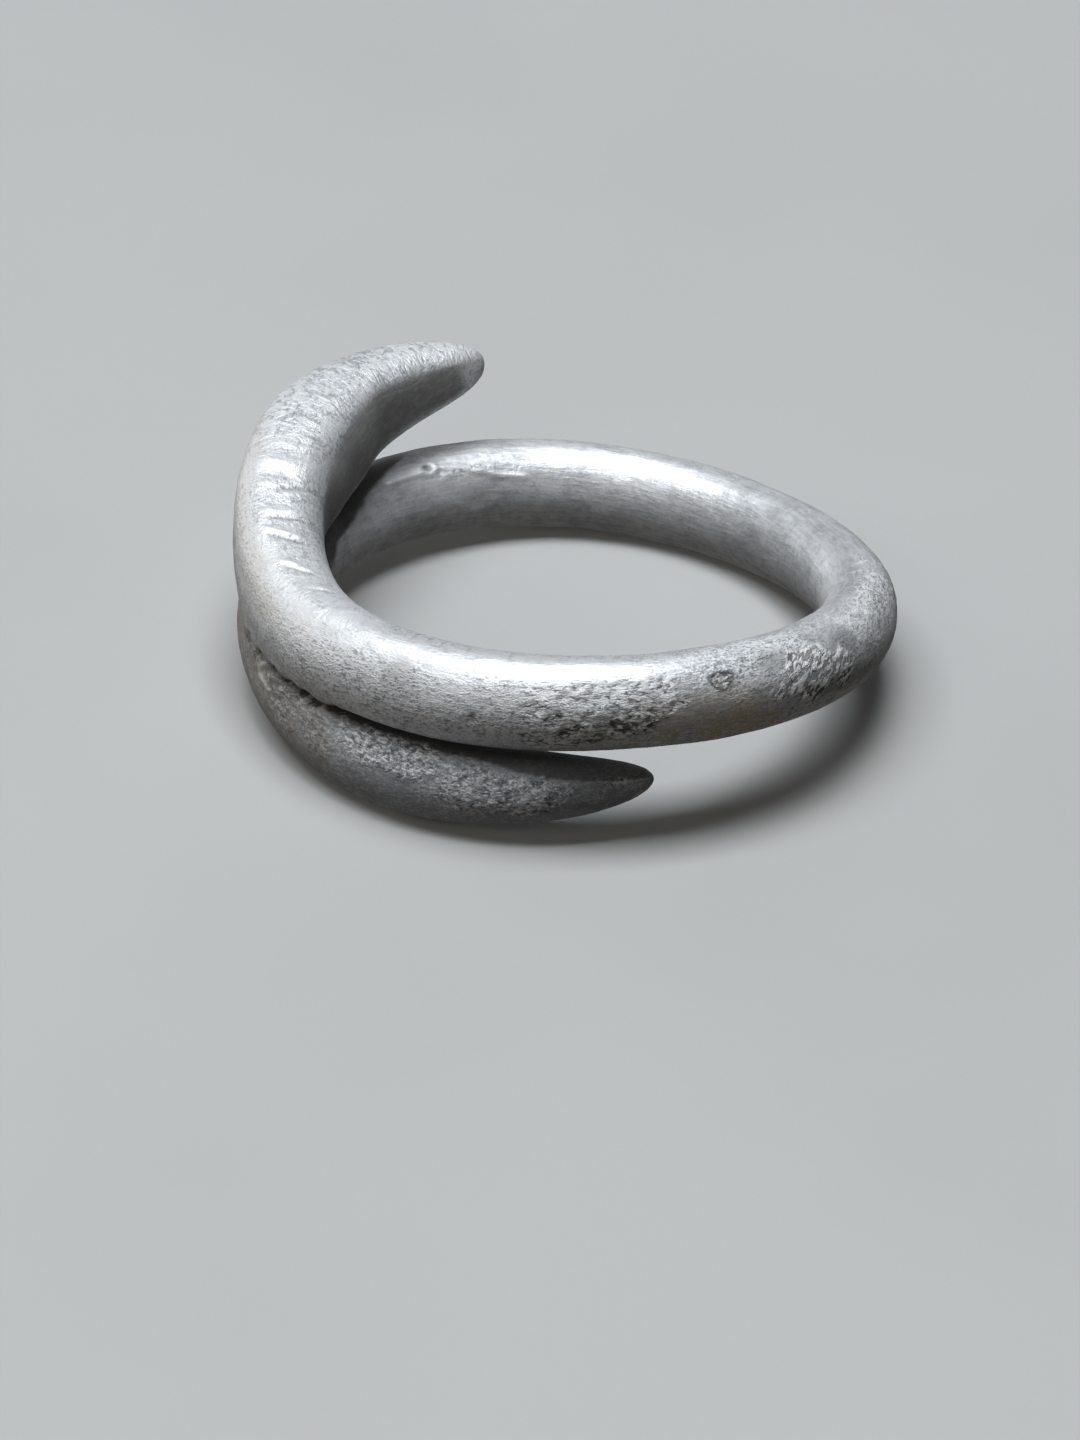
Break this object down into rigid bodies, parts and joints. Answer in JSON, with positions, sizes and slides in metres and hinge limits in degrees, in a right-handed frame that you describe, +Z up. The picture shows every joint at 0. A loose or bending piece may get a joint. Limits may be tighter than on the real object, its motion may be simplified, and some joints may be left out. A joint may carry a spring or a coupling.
{
  "type": "coiled finger ring",
  "caption": "Plain finger ring bent from one tapered round rod, its two horn-like ends overlapping one above the other.",
  "frame": {"origin": "on the surface that the ring lies on, straight below the middle of its bounding box", "axes": "+Z up from that surface as the loose ring comes to rest; +X from the overlap of the horns towards the plain back of the hoop; +Y towards the side where the upper horn ends"},
  "size_m": [0.0244, 0.0242, 0.0085],
  "materials": {
    "silver": "worn satin silver with dull grey and brown patches"
  },
  "bodies": {
    "root": {"coil_ring": "silver"}
  },
  "joints": []
}
